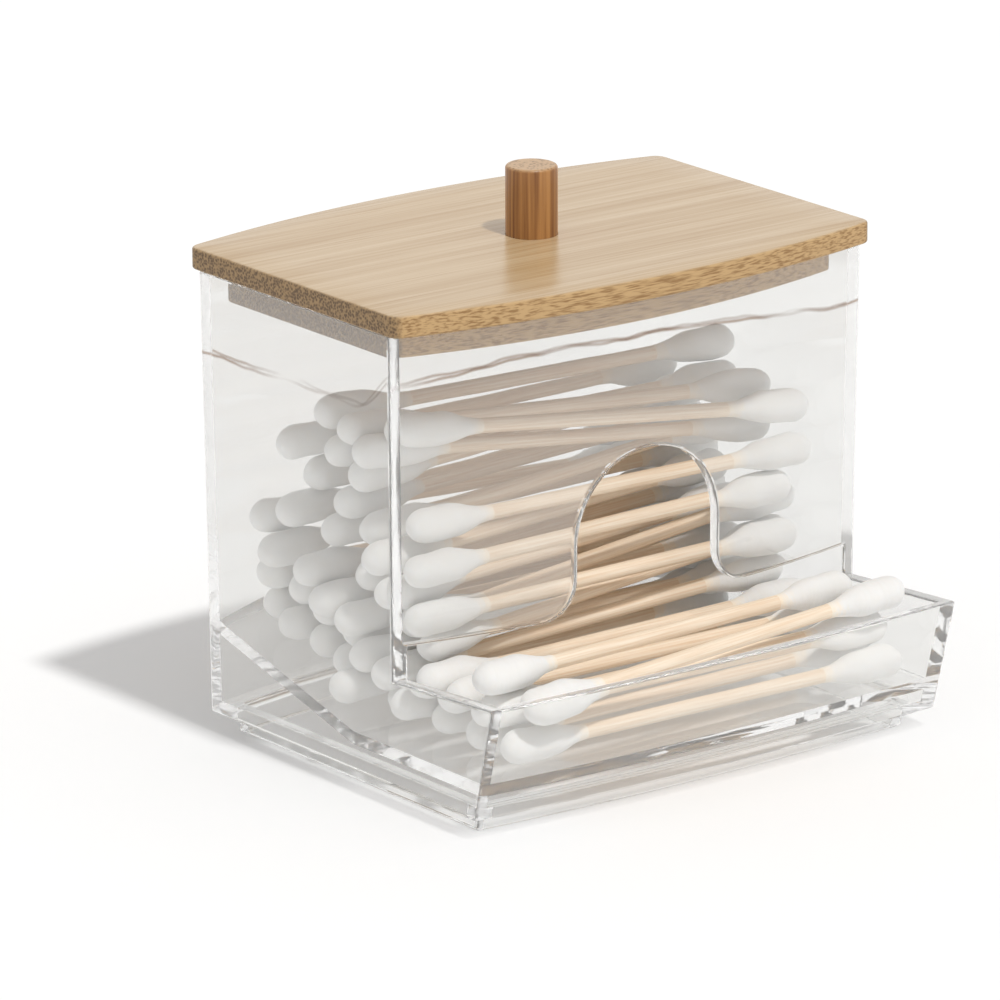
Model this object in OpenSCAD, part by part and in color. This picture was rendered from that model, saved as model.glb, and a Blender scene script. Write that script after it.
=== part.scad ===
// Cotton swab holder: a clear one-piece moulded box with bowed walls, a curved chute, a notched
// front wall and a flared tray, a bamboo lid with a dowel knob, and a heap of wooden swabs.
// Millimetres. The front is -Y, the table is z = 0 and the origin is the middle of the footprint.

/* [Box] */
// Clearance at the rim between the side walls and the tips of a swab in the middle
swab_room = 4.9; // [4:0.1:12]
// Depth of the box at its corners, across its rim
box_d = 48; // [44:1:70]
// Clear height between the top of the heap and the lid's step
head_room = 12.2; // [5:0.1:30]
// How far the front and rear walls bow out at their middle
wall_bow = 5.5; // [3:0.5:8]
// Thickness of the front, rear and lip walls
wall = 2; // [1.5:0.1:2.6]
// Thickness of the side walls
side_wall = 2.6; // [1.6:0.1:3.4]
// How far each wall leans in from the rim down to the table
draft = 0.8; // [0.3:0.1:1.5]

/* [Foot] */
// Height of the foot ring under the walls
foot_h = 3.2; // [2:0.1:4]
// How far the foot ring stands back from the walls
foot_inset = 3.3; // [2.4:0.1:4.5]
// Thickness of the foot ring and of the step above it
foot_wall = 1.8; // [1.2:0.1:2.4]

/* [Chute and tray] */
// Height of the tray's floor above the table
floor_h = 9; // [8:0.1:11]
// Thickness of the tray's floor and of the chute
floor_t = 2; // [1.4:0.1:2.4]
// How far in front of the box's middle the chute begins to rise
chute_start = 12; // [6:0.5:16]
// Slope of the chute, in degrees
chute_angle = 14.5; // [8:0.5:18]
// Radius that carries the chute up into the rear wall
chute_r = 10; // [8:0.5:14]
// How far the lip's corners stand in front of the box's corners
tray_out = 24; // [20:0.5:34]
// How far the lip bows out at its middle
lip_bow = 2; // [1:0.5:4]
// Height of the lip's rim above the table
lip_h = 21.5; // [19:0.5:23]
// How much the tray's side rims rise from the box to the lip
lip_rise = 1.5; // [0.5:0.1:2.5]
// How far the lip leans out from the table up to its rim
lip_lean = 5.5; // [3:0.1:7]

/* [Front opening] */
// Height of the front wall's lower edge above the table
slot_h = 25; // [24:0.5:30]
// Width of the finger notch
notch_w = 26.6; // [20:0.2:34]
// Height of the notch's top above the table
notch_top = 49.5; // [46:0.5:60]
// Radius at the foot of each side of the notch
notch_flare = 6; // [3:0.5:9]

/* [Lid] */
// Thickness of the lid's board
lid_t = 3.4; // [2.5:0.1:6]
// How far the board overhangs the rim at each side
lid_side_over = 0.4; // [0.2:0.1:2]
// How far the board overhangs the rim at the front and rear
lid_face_over = 2; // [0.5:0.1:4]
// Radius of the board's corners
lid_corner_r = 3.5; // [2:0.5:8]
// Depth of the step that drops into the box
plug_h = 4.6; // [3:0.1:7]
// Clearance between the step and the box's walls
plug_gap = 1.5; // [0.4:0.1:2.5]
// Radius of the step's corners
plug_corner_r = 2.5; // [1:0.5:6]

/* [Knob] */
// Diameter of the dowel
knob_d = 8; // [6:0.5:14]
// Height of the dowel above the board
knob_h = 10.8; // [8:0.2:20]
// Depth of the blind hole that the dowel is glued into
knob_depth = 5; // [3:0.2:5.6]
// Broken edge at the dowel's top
knob_edge = 0.5; // [0.2:0.1:1]
// Clearance for glue round the dowel
glue_gap = 0.05; // [0.02:0.01:0.1]

/* [Swabs] */
// Length of a swab over its heads
swab_len = 75; // [70:0.5:76]
// Diameter of the stick
stick_d = 2.3; // [1.8:0.1:2.6]
// Diameter of a cotton head
head_d = 5.2; // [4.6:0.1:5.6]
// Length of a cotton head down to the bare stick
head_len = 15; // [12:0.5:18]
// Clearance between swabs that touch
swab_gap = 0.25; // [0.15:0.01:0.4]
// Which of the random heaps is laid
heap_seed = 36; // [1:1:99]

/* [Hidden] */
over = 1;
$fn = 64;
bow_fn = 360;

// Width of the box across its rim
box_w = swab_len + 2 * (swab_room + side_wall);

// Bowed walls: radius that gives the bow across the box's width, and its axis behind the box's middle
face_r = (pow(box_w / 2, 2) + pow(wall_bow, 2)) / (2 * wall_bow);
face_axis = face_r - box_d / 2 - wall_bow;
lip_r = (pow(box_w / 2, 2) + pow(lip_bow, 2)) / (2 * lip_bow);
lip_y = box_d / 2 + tray_out + lip_bow;

// The whole footprint runs from the lip's middle to the lid's rear edge
lid_reach = box_d / 2 + lid_face_over + wall_bow;
box_y = (lip_y - lid_reach) / 2;
span = 2 * (lip_y + box_w);

// Chute: the arc ends upright at the rim's inner face, and bites a little into the slope to meet it
chute_end = box_d / 2 + wall_bow - wall;
chute_bite = 0.02;
arc_y = chute_end - chute_r;
arc_z = floor_h + (arc_y + chute_start) * tan(chute_angle) + chute_r / cos(chute_angle) - chute_bite;

// Swab profile: a round tip over the first share of the head, a full belly, then a taper
head_r = head_d / 2;
stick_r = stick_d / 2;
tip_share = 0.2;
belly_share = 0.5;
tip_steps = 5;
taper_steps = 5;

// The heap's rows from the floor up: zone, shares of its depth between which they lie, number of swabs,
// mean slew and spread of slew (degrees)
row_shares = [
    ["floor", 0, 1, 10, 0, 1], ["floor", 0, 1, 9, 0, 2], ["tray", 0, 1, 2, 1, 3],
    ["box", 0, 1, 7, 2, 3], ["box", 0, 0.95, 6, 5, 4], ["box", 0, 0.9, 5, 6, 5],
    ["box", 0.05, 0.85, 4, -2, 6], ["box", 0.1, 0.75, 3, -6, 4]
];
roll_shares = [-0.4, 0, 0.4];
tilts = [-6, -3, 0, 3, 6];
side_shares = [0.2, 0.25, 0.29, 0.33, 0.37, 0.41, 0.45, 0.49];
station_shares = concat(-side_shares, side_shares);
stations = station_shares * swab_len;
drift_share = 0.05;
near_share = 4.4;
level_share = 0.12;
swab_count = sum_to([for (row = row_shares) row[3]], len(row_shares));
shake = rands(-1, 1, 2 * swab_count, heap_seed);

function sum_to(list, n) = n == 0 ? 0 : list[n - 1] + sum_to(list, n - 1);
function swab_name(i) = str("swab_", i < 10 ? "0" : "", i);
function draft_at(z) = draft * (1 - z / box_h);
function lean_at(z) = lip_lean * (1 - z / lip_h);

// Half the depth between the bowed inner faces at the table, at a place across the width
function inner_face(x) = sqrt(pow(face_r - wall - draft, 2) - x * x) - face_axis;

// Radius of a swab at a distance from its middle
function swab_r(s) =
    let (u = swab_len / 2 - abs(s), belly = head_len * belly_share)
    u < belly ? head_r
    : u > head_len ? stick_r
    : head_r + (stick_r - head_r) * (u - belly) / (head_len - belly);

// Height of a round thing's middle when it lies on the floor, the chute or the chute's arc
function lying_z(y, r) =
    let (
        slope_z = floor_h + (y + chute_start) * tan(chute_angle) + r / cos(chute_angle),
        in_arc = y > arc_y + (chute_r - r) * sin(chute_angle),
        arc = sqrt(max(0, pow(chute_r - r, 2) - pow(y - arc_y, 2)))
    )
    in_arc ? arc_z - arc : max(floor_h + r, slope_z);

// A swab is [x, y, z, slew, rise]: its middle, and how far it goes in y and z for each step in x
function y_at(s, x) = s[1] + (x - s[0]) * s[3];
function z_at(s, x) = s[2] + (x - s[0]) * s[4];

// Height that swab s, lying at z = 0, has to be lifted by to clear swab t at a place across the width
function lift_over(s, t, x) =
    let (
        reach = swab_r(x - s[0]) + swab_r(x - t[0]) + swab_gap,
        off = y_at(s, x) - y_at(t, x)
    )
    abs(off) < reach ? z_at(t, x) + sqrt(reach * reach - off * off) - z_at(s, x) : 0;

// Where two swabs cross in plan, kept between their ends
function crossing(s, t) =
    s[3] == t[3] ? 0
    : let (x = (t[1] - t[0] * t[3] - s[1] + s[0] * s[3]) / (s[3] - t[3]))
    max(-swab_len / 2, min(swab_len / 2, x));

// Height at which swab s comes to lie on the floor and on the swabs already there
function drop_z(s, heap) =
    let (near = [for (t = heap) if (abs(t[1] - s[1]) < near_share * head_d) t])
    max(concat(
        [for (x = stations) lying_z(y_at(s, x), swab_r(x - s[0])) + swab_gap - z_at(s, x)],
        [for (t = near, x = stations) lift_over(s, t, x)],
        [for (t = near) lift_over(s, t, crossing(s, t))]
    ));

// Of several ways to lie, the lowest, where a tilt counts as a little height
function lowest(ways, heap) =
    let (
        heights = [for (s = ways) drop_z(s, heap)],
        ranks = [for (i = [0:len(ways) - 1]) heights[i] + abs(ways[i][4]) * swab_len * level_share],
        best = search(min(ranks), ranks)[0]
    )
    ways[best] + [0, 0, heights[best], 0, 0];

// Front and rear limits of a zone's lanes, for heads that clear its walls
end_room = inner_face(swab_len / 2) - head_r - swab_gap;
lip_room = lip_y - lip_bow - wall - head_r - swab_gap;
wall_room = box_d / 2 + wall_bow + stick_r + swab_gap;
function zone(name) =
    name == "floor" ? [lean_at(floor_h + head_r) - lip_room, end_room]
    : name == "tray" ? [lean_at(floor_h + 3 * head_r) - lip_room, -wall_room]
    : [-end_room, end_room];

// Ways for one swab to lie in its lane: rolled a little forward or back, and tilted
function ways(row, lane, i) =
    let (
        slew = tan(row[4] + row[5] * shake[2 * i]),
        drift = swab_len * drift_share * shake[2 * i + 1],
        room = abs(slew) * swab_len / 2,
        limits = zone(row[0]) + [room, -room],
        share = row[1] + (row[2] - row[1]) * (lane + 1 / 2) / row[3],
        y = limits[0] + (limits[1] - limits[0]) * share
    )
    [for (roll = roll_shares, tilt = tilts)
        [drift, max(limits[0], min(limits[1], y + roll * head_d)), 0, slew, tan(tilt)]];

lanes = [for (row = row_shares, lane = [0:row[3] - 1]) [row, lane]];
function laid(i, heap) =
    i == len(lanes) ? heap : laid(i + 1, concat(heap, [lowest(ways(lanes[i][0], lanes[i][1], i), heap)]));
swabs = laid(0, []);

// Height of the rim: the heap, the room above it and the lid's step
heap_top = max([for (s = swabs) s[2] + abs(s[4]) * swab_len / 2 + head_r]);
box_h = heap_top + head_room + plug_h;

// A flat outline in (y, z), carried across the whole width
module across() {
    rotate([90, 0, 90]) linear_extrude(height = span, center = true) children();
}

// A flat outline in (x, z), carried from front to rear
module along() {
    rotate([90, 0, 0]) linear_extrude(height = span, center = true) children();
}

// Block between the leaning side walls
module side_wedge(inset, z0, z1) {
    low = box_w / 2 - draft_at(z0) - inset;
    high = box_w / 2 - draft_at(z1) - inset;
    along() polygon([[-low, z0], [low, z0], [high, z1], [-high, z1]]);
}

// One bowed and leaning wall, as the round block in front of it (way -1) or behind it (way 1)
module bowed_face(way, inset, z0, z1) {
    low = face_r - draft_at(z0) - inset;
    high = face_r - draft_at(z1) - inset;
    translate([0, -way * face_axis, z0]) cylinder(h = z1 - z0, r1 = low, r2 = high, $fn = bow_fn);
}

// Plan of the box, between its bowed front and rear
module box_plan(inset, z0, z1) {
    intersection() {
        bowed_face(-1, inset, z0, z1);
        bowed_face(1, inset, z0, z1);
    }
}

// Plan of the tray, from its bowed and leaning lip to the box's middle
module tray_plan(inset, z0, z1) {
    low = lip_r - lean_at(z0) - inset;
    high = lip_r - lean_at(z1) - inset;
    intersection() {
        translate([0, lip_r - lip_y, z0]) cylinder(h = z1 - z0, r1 = low, r2 = high, $fn = bow_fn);
        across() translate([-span / 2, z0]) square([span / 2, z1 - z0]);
    }
}

// Box and tray together, between the side walls
module box_and_tray(side, face, z0, z1) {
    intersection() {
        side_wedge(side, z0, z1);
        union() {
            box_plan(face, z0, z1);
            tray_plan(face, z0, z1);
        }
    }
}

// Outline under the tray's rims, which rise from the box to the lip
module rim_side() {
    rise = lip_rise / tray_out;
    front = lip_y + over;
    polygon([
        [0, 0], [0, lip_h - lip_rise - rise * box_d / 2],
        [-front, lip_h + rise * (front - box_d / 2 - tray_out)], [-front, 0]
    ]);
}

// Outline of all that is above the floor and the chute, or above their undersides
module above_chute(depth) {
    low = floor_h - depth;
    start = -chute_start + depth * tan(chute_angle / 2);
    r = chute_r + depth;
    meet = arc_y + r * sin(chute_angle);
    top = box_h + 2 * over;
    polygon([
        [-lip_y, low], [start, low], [meet, low + (meet - start) * tan(chute_angle)],
        [meet, top], [-lip_y, top]
    ]);
    translate([arc_y, arc_z]) circle(r = r, $fn = bow_fn);
    translate([arc_y, arc_z]) square([r + wall + over, top - arc_z]);
}

// Arch of the finger notch, flared where it meets the front wall's lower edge
module notch_outline() {
    half = notch_w / 2;
    foot = half + notch_flare;
    translate([0, notch_top - half]) circle(r = half);
    translate([-half, slot_h - over]) square([notch_w, notch_top - half - slot_h + over]);
    difference() {
        translate([-foot, slot_h - over]) square([2 * foot, notch_flare + over]);
        for (x = [-foot, foot]) translate([x, slot_h + notch_flare]) circle(r = notch_flare);
    }
}

// Outer form: the walls down to the step, and the foot ring under them
module box_outside() {
    intersection() {
        side_wedge(0, foot_h, box_h);
        union() {
            box_plan(0, foot_h, box_h);
            intersection() {
                tray_plan(0, foot_h, box_h);
                across() rim_side();
            }
        }
    }
    box_and_tray(foot_inset, foot_inset, 0, foot_h + over);
}

// Space for the swabs: the box above the chute, and the tray under the front wall's lower edge
module swab_space() {
    intersection() {
        side_wedge(side_wall, foot_h, box_h + over);
        union() {
            box_plan(wall, foot_h, box_h + over);
            tray_plan(wall, foot_h, slot_h);
        }
        across() above_chute(0);
    }
}

// Finger notch, through the front wall only
module notch() {
    intersection() {
        across() translate([-span / 2, 0]) square([span / 2, box_h]);
        along() notch_outline();
    }
}

// Hollow under the chute, open at the bottom through the foot ring
module underside() {
    step_h = foot_h + foot_wall;
    foot_in = foot_inset + foot_wall;
    difference() {
        box_and_tray(side_wall, wall, step_h, box_h);
        across() above_chute(floor_t);
    }
    box_and_tray(foot_in, foot_in, -over, step_h + over);
}

module box() {
    color([0.9, 0.93, 0.95, 0.35]) translate([0, box_y, 0]) difference() {
        box_outside();
        swab_space();
        notch();
        underside();
    }
}

// Outline with straight sides, bowed front and rear edges and round corners
module bowed_outline(w, d, bow, r) {
    edge_r = (pow(w / 2, 2) + pow(bow, 2)) / (2 * bow);
    axis = edge_r - d / 2 - bow;
    corner_x = w / 2 - r;
    corner_y = sqrt(pow(edge_r - r, 2) - pow(corner_x, 2)) - axis;
    meet_x = corner_x * edge_r / (edge_r - r);
    intersection() {
        translate([0, axis]) circle(r = edge_r, $fn = bow_fn);
        translate([0, -axis]) circle(r = edge_r, $fn = bow_fn);
        square([2 * meet_x, d + 2 * bow], center = true);
    }
    square([w, 2 * corner_y], center = true);
    for (x = [-corner_x, corner_x], y = [-corner_y, corner_y]) translate([x, y]) circle(r = r);
}

module lid() {
    plug_w = box_w - 2 * (side_wall + plug_gap);
    plug_d = box_d - 2 * (wall + plug_gap);
    color([0.85, 0.77, 0.64]) translate([0, box_y, 0]) difference() {
        union() {
            translate([0, 0, box_h]) linear_extrude(height = lid_t)
                bowed_outline(box_w + 2 * lid_side_over, box_d + 2 * lid_face_over, wall_bow, lid_corner_r);
            translate([0, 0, box_h - plug_h]) linear_extrude(height = plug_h)
                bowed_outline(plug_w, plug_d, wall_bow, plug_corner_r);
        }
        translate([0, 0, box_h + lid_t - knob_depth])
            cylinder(h = knob_depth + over, r = knob_d / 2 + glue_gap);
    }
}

module knob() {
    r = knob_d / 2;
    top = knob_depth + knob_h;
    color([0.62, 0.43, 0.25]) translate([0, box_y, box_h + lid_t - knob_depth]) rotate_extrude()
        polygon([[0, 0], [r, 0], [r, top - knob_edge], [r - knob_edge, top], [0, top]]);
}

// Half a swab's outline: bare stick, taper, belly and round tip, in (radius, distance from the middle)
function half_swab() =
    let (
        neck = swab_len / 2 - head_len,
        belly = swab_len / 2 - head_len * belly_share,
        tip = swab_len / 2 - head_len * tip_share
    )
    concat(
        [[0, 0], [stick_r, 0]],
        [for (k = [0:taper_steps]) let (u = k / taper_steps)
            [stick_r + (head_r - stick_r) * (1 - cos(u * 180)) / 2, neck + (belly - neck) * u]],
        [for (k = [0:tip_steps]) let (a = k / tip_steps * 90)
            [head_r * cos(a), tip + head_len * tip_share * sin(a)]]
    );

module swab(s) {
    slew = atan(s[3]);
    color([0.93, 0.88, 0.78]) translate([s[0], box_y + s[1], s[2]])
        rotate([0, 90 - atan(s[4] * cos(slew)), slew])
        for (way = [0, 1]) mirror([0, 0, way]) rotate_extrude() polygon(half_swab());
}

box();
lid();
knob();
for (i = [1:swab_count]) swab(swabs[i - 1]);
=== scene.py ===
"""Clear cotton swab holder with a bamboo lid, a dowel knob and a heap of wooden swabs."""

import math
from types import SimpleNamespace

import bmesh
import bpy
import numpy as np
from mathutils import Matrix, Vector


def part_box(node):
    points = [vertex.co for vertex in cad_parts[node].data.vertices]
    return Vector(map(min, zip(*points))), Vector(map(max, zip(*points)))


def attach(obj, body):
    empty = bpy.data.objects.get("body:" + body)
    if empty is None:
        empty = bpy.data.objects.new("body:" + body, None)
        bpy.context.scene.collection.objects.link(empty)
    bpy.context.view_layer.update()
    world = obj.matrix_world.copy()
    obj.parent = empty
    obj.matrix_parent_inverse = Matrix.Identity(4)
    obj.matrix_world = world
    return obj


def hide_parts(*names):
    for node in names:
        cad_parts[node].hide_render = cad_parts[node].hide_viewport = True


bl_info = {
    "name": "Cotton Swab Holder",
    "version": (1, 0, 0),
    "blender": (4, 5, 0),
    "location": "3D View > Sidebar > Swab Holder",
    "description": "Clear swab box with a chute and a tray, a bamboo lid, a dowel knob and cotton swabs",
    "category": "Add Mesh",
}

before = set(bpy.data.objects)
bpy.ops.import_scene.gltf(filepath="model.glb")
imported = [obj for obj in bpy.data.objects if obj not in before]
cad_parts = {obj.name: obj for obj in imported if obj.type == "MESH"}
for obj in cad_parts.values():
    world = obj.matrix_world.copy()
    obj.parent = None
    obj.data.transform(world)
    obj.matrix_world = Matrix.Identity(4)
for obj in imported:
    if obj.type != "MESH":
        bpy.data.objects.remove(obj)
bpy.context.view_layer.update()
BOX_LOW, BOX_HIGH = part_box("box")
LID_LOW, LID_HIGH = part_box("lid")
KNOB_LOW, KNOB_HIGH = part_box("knob")
SWAB_NODES = sorted(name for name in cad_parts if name.startswith("swab_"))
MM = 0.001
QUARTER = math.pi / 2

# So many lines across a bowed wall leave its notch and its corners clear of other edges
WALL_LINES = 59
# Lines along the chute's arc, and points on each flare and on the arch of the notch
CHUTE_LINES = 9
FLARE_POINTS = 9
ARCH_POINTS = 33
# How far a cutting form runs past the face that it opens, in millimetres
OVERCUT = 1.0
# Points on the lid: along each side, round each corner, along each bowed face and over each sanded edge
SIDE_POINTS = 9
CORNER_POINTS = 9
BOW_POINTS = 49
ARRIS_POINTS = 5
# Rings on the lid's top, between its edge and the hole
TOP_RINGS = 6
# Points over the knob's top edge and round it, and the height of its upper band in millimetres
KNOB_EDGE_POINTS = 6
KNOB_SIDES = 64
KNOB_BAND = 3.0
# Where the tip, the belly and the taper of a cotton head end, as shares of its length
TIP_END = 0.2
BELLY_END = 0.5
TAPER_END = 0.97
# Share of a head, from the bare stick on, over which its cotton thickens
THIN_SHARE = 0.36
# Rings on the bare stick, and points round a swab
STICK_RINGS = 5
SWAB_SIDES = 20
# Unevenness of the wound cotton: share of the radius, waves round it and slant in radians per millimetre
WINDING = ((0.028, 2, 0.35), (0.020, 3, -0.55), (0.022, 1, 1.1))
# Millimetres of grain from one swab to the next, so that no two look alike
GRAIN_SHIFT = 80
# Sockets of a Mix node for colours, and for plain values
COLOUR_A, COLOUR_B, COLOUR_OUT = 6, 7, 2
VALUE_A, VALUE_B = 2, 3
# Turns that light may take between the clear walls
LIGHT_BOUNCES = 96
KEY_COLOUR = (1.0, 0.995, 0.985)


def linear(code):
    """Linear RGBA of an sRGB hex value: a channel over 12.92 near black, and a power of 2.4 above that."""
    channels = np.array([int(code[i : i + 2], 16) for i in (1, 3, 5)]) / 255.0
    straight = np.where(channels <= 0.04045, channels / 12.92, ((channels + 0.055) / 1.055) ** 2.4)
    return (*straight.tolist(), 1.0)


def length(name, description, default):
    """A size in metres for a property group."""
    return bpy.props.FloatProperty(
        name=name, description=description, default=default, min=0.0, unit="LENGTH", precision=5
    )


def angle(name, description, degrees):
    """An angle for a property group, from degrees."""
    return bpy.props.FloatProperty(
        name=name, description=description, default=math.radians(degrees), subtype="ANGLE"
    )


def colour(name, description, code):
    """A colour for a property group, from an sRGB hex value."""
    return bpy.props.FloatVectorProperty(
        name=name, description=description, default=linear(code)[:3], min=0.0, max=1.0, size=3,
        subtype="COLOR",
    )


class HolderBoxSizes(bpy.types.PropertyGroup):
    """Sizes of the clear moulded box."""

    width: length("Width", "Width across the rim", 2 * BOX_HIGH.x)
    depth: length("Depth", "Depth across the rim at the corners", 0.048)
    rim: length("Rim height", "Height of the rim above the table", BOX_HIGH.z)
    bow: length("Bow", "How far the front and rear walls bow out", 0.0055)
    wall: length("Wall", "Thickness of the front, rear and lip walls", 0.002)
    side_wall: length("Side wall", "Thickness of the side walls", 0.0026)
    draft: length("Draft", "How far each wall leans in from the rim to the table", 0.0008)
    foot_h: length("Foot height", "Height of the foot ring", 0.0032)
    foot_inset: length("Foot inset", "How far the foot ring stands back", 0.0033)
    foot_wall: length("Foot wall", "Thickness of the foot ring and of the step above it", 0.0018)
    floor_h: length("Floor height", "Height of the tray's floor", 0.009)
    floor_t: length("Floor thickness", "Thickness of the floor and the chute", 0.002)
    chute_start: length("Chute start", "How far in front of the middle the chute begins", 0.012)
    chute_angle: angle("Chute slope", "Slope of the chute", 14.5)
    chute_r: length("Chute radius", "Radius that carries the chute into the rear wall", 0.010)
    tray_out: length("Tray reach", "How far the lip's corners stand in front of the box", 0.024)
    lip_bow: length("Lip bow", "How far the lip bows out", 0.002)
    lip_h: length("Lip height", "Height of the lip's rim", 0.0215)
    lip_rise: length("Lip rise", "How much the tray's side rims rise towards the lip", 0.0015)
    lip_lean: length("Lip lean", "How far the lip leans out up to its rim", 0.0055)
    slot_h: length("Slot height", "Height of the front wall's lower edge", 0.025)
    notch_w: length("Notch width", "Width of the finger notch", 0.0266)
    notch_top: length("Notch top", "Height of the notch's top", 0.0495)
    notch_flare: length("Notch flare", "Radius at the foot of the notch", 0.006)
    edge_r: length("Edge radius", "Radius of the moulded edges", 0.00045)


class HolderLidSizes(bpy.types.PropertyGroup):
    """Sizes of the lid and its knob."""

    bow: length("Bow", "How far the front and rear edges bow out", 0.0055)
    board_t: length("Board", "Thickness of the board outside the box", LID_HIGH.z - BOX_HIGH.z)
    corner_r: length("Corner radius", "Radius of the board's corners", 0.0022)
    arris: length("Arris", "Radius of the board's sanded edges", 0.0004)
    step_side: length("Step inset, side", "How far the step stands in from the board's sides", 0.0045)
    step_face: length("Step inset, face", "How far the step stands in from the board's front", 0.0055)
    step_r: length("Step radius", "Radius of the step's corners", 0.0012)
    hole_depth: length("Hole depth", "Depth of the blind hole for the knob", 0.005)
    glue_gap: length("Glue gap", "Clearance for glue round the knob", 0.00005)
    knob_edge: length("Knob edge", "Rounding of the knob's top edge", 0.0005)


class HolderSwabSizes(bpy.types.PropertyGroup):
    """Sizes of the swabs."""

    length: length("Length", "Length of a swab over its heads", 0.075)
    stick_d: length("Stick", "Diameter of the stick", 0.0023)
    head_d: length("Head", "Diameter of a cotton head", 0.0052)
    head_len: length("Head length", "Length of a cotton head", 0.015)
    wrap: length("Wrap", "Thickness of the cotton where it ends on the stick", 0.00006)


class HolderColours(bpy.types.PropertyGroup):
    """Colours of the holder's materials."""

    bamboo_pale: colour("Bamboo, pale", "Pale streaks of the board", "#CFB692")
    bamboo_deep: colour("Bamboo, deep", "Deeper streaks of the board", "#B7976B")
    bamboo_edge: colour("Bamboo edge", "Sawn front and rear edges", "#C3A070")
    bamboo_end: colour("Bamboo end grain", "Sawn ends", "#A1835B")
    dowel: colour("Dowel", "Side of the knob", "#B8844C")
    birch: colour("Birch", "Swab sticks", "#F8E9D4")
    cotton: colour("Cotton", "Swab heads", "#F1F0EF")


class HolderStage(bpy.types.PropertyGroup):
    """Floor, light and camera."""

    floor_size: length("Floor", "Side of the floor", 6.0)
    sun: bpy.props.FloatProperty(name="Sun", description="Strength of the key light", default=1.6)
    sun_height: angle("Sun height", "Height of the key light over the front", 60.5)
    sun_width: angle("Sun width", "Width of the key light as the holder sees it", 4.0)
    sky: bpy.props.FloatProperty(name="Sky", description="Strength of the soft light", default=0.59)
    view_turn: angle("View turn", "How far the camera stands round to the left of the front", 37.30947)
    view_height: angle("View height", "How far the camera looks down", 16.62625)
    view_roll: angle("View roll", "How far the camera is turned about its own axis", -0.22126)
    view_reach: length("View reach", "Distance from the camera to the point that it looks at", 1.24958)
    view_point: bpy.props.FloatVectorProperty(
        name="View point", description="Point that the camera looks at",
        default=(-0.019389, -0.008024, 0.042), size=3, subtype="XYZ", unit="LENGTH", precision=5,
    )
    lens: bpy.props.FloatProperty(name="Lens", description="Focal length, in millimetres", default=299.98)
    film: bpy.props.FloatProperty(name="Film", description="Width of the film, in millimetres", default=36.0)


def in_mm(group):
    """The lengths of a property group in millimetres, and its other values as they are."""
    sizes = {}
    for name, kind in group.bl_rna.properties.items():
        if kind.type == "FLOAT" and not kind.is_array:
            sizes[name] = getattr(group, name) * (1000.0 if kind.unit == "LENGTH" else 1.0)
    return SimpleNamespace(**sizes)


def sweep_mesh(name, points):
    """A closed outline carried along a path: points is (steps, outline, 3), with the two ends capped."""
    steps, around = points.shape[:2]
    index = np.arange(steps * around).reshape(steps, around)
    beside = np.roll(index, -1, axis=1)
    quads = np.stack([index[:-1], index[1:], beside[1:], beside[:-1]], axis=-1).reshape(-1, 4)
    caps = [index[0].tolist(), index[-1][::-1].tolist()]
    mesh = bpy.data.meshes.new(name)
    mesh.from_pydata(points.reshape(-1, 3), [], quads.tolist() + caps)
    work = bmesh.new()
    work.from_mesh(mesh)
    bmesh.ops.recalc_face_normals(work, faces=work.faces)
    work.to_mesh(mesh)
    work.free()
    return mesh


def rings_mesh(name, rings):
    """A skin over closed rings of equal length, (rings, points, 3), with its first and last ring filled."""
    count, around = rings.shape[:2]
    index = np.arange(count * around).reshape(count, around)
    beside = np.roll(index, -1, axis=1)
    quads = np.stack([index[:-1], beside[:-1], beside[1:], index[1:]], axis=-1).reshape(-1, 4)
    caps = [index[0][::-1].tolist(), index[-1].tolist()]
    mesh = bpy.data.meshes.new(name)
    mesh.from_pydata(rings.reshape(-1, 3), [], quads.tolist() + caps)
    return mesh


def smooth_by_angle(mesh, degrees):
    """Smooth shading, with edges sharper than an angle kept crisp."""
    mesh.polygons.foreach_set("use_smooth", np.ones(len(mesh.polygons), bool))
    mesh.set_sharp_from_angle(angle=math.radians(degrees))


def point_attribute(mesh, name, values):
    """A number at each point of a mesh, for its material."""
    layer = mesh.attributes.new(name, "FLOAT", "POINT")
    layer.data.foreach_set("value", np.ascontiguousarray(values, np.float32).ravel())


def place(name, mesh, body, slot, *nodes):
    """A finished piece at the origin, riding on a body and standing for its nodes."""
    piece = bpy.data.objects.new(name, mesh)
    bpy.context.scene.collection.objects.link(piece)
    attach(piece, body)
    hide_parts(*nodes)
    return piece


def box_form(sizes):
    """The box's sizes in millimetres with the circles of its bowed walls and its chute."""
    b = in_mm(sizes)
    b.face_r = ((b.width / 2) ** 2 + b.bow**2) / (2 * b.bow)
    b.face_axis = b.face_r - b.depth / 2 - b.bow
    b.lip_r = ((b.width / 2) ** 2 + b.lip_bow**2) / (2 * b.lip_bow)
    b.lip_y = b.depth / 2 + b.tray_out + b.lip_bow
    b.arc_y = b.depth / 2 + b.bow - b.wall - b.chute_r
    b.slope = math.tan(b.chute_angle)
    b.arc_z = b.floor_h + (b.arc_y + b.chute_start) * b.slope + b.chute_r / math.cos(b.chute_angle)
    b.t = np.linspace(-1, 1, WALL_LINES)
    return b


def wall_line(b, z, wall, side=0.0, face=0.0):
    """Points across the width at height z, each inset: x between the leaning sides, y on a wall's bow."""
    z = z + 0 * b.t
    lean = b.draft * (1 - z / b.rim)
    x = b.t * (b.width / 2 - lean - side)
    if wall == "lip":
        out = b.lip_lean * (1 - z / b.lip_h)
        y = b.lip_r - b.lip_y - np.sqrt((b.lip_r - out - face) ** 2 - x**2)
    else:
        y = np.sqrt((b.face_r - lean - face) ** 2 - x**2) - b.face_axis
        y = y if wall == "rear" else -y
    return np.stack([x, y, z], axis=-1)


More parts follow.
